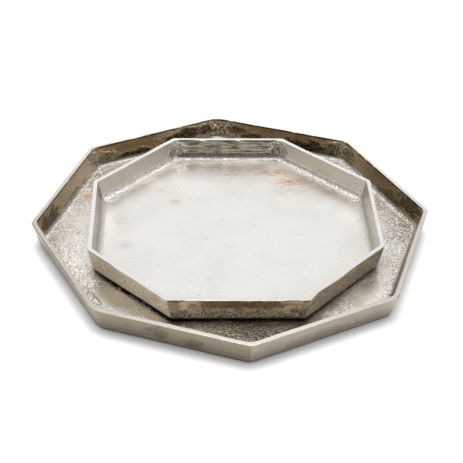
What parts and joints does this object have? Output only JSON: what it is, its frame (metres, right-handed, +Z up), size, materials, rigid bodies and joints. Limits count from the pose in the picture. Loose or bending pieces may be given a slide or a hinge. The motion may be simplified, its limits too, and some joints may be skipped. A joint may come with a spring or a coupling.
{
  "type": "nesting octagonal tray set",
  "caption": "Nesting octagonal cast-metal serving trays with low flared walls; the smaller tray lies loose inside the larger one and lifts out.",
  "frame": {"origin": "on the surface that the set stands on, under the middle of the large tray", "axes": "+Z up; the large tray's corners point along +X, +Y, -X and -Y, and the corner on -Y is the front"},
  "size_m": [0.4378, 0.4378, 0.0359],
  "materials": {
    "cast_metal": "satin cast surface with a raw nickel look, rims ground bright",
    "felt": "matte pressed felt"
  },
  "bodies": {
    "large_tray_body": {"large_tray": "cast_metal", "large_tray_pad_1": "felt", "large_tray_pad_2": "felt", "large_tray_pad_3": "felt", "large_tray_pad_4": "felt"},
    "small_tray_body": {"small_tray": "cast_metal", "small_tray_pad_1": "felt", "small_tray_pad_2": "felt", "small_tray_pad_3": "felt", "small_tray_pad_4": "felt"}
  },
  "joints": [
    {"name": "small_tray_lift", "type": "slide", "parent": "large_tray_body", "child": "small_tray_body", "axis": [0, 0, 1], "range_m": [0, 0.1]}
  ]
}
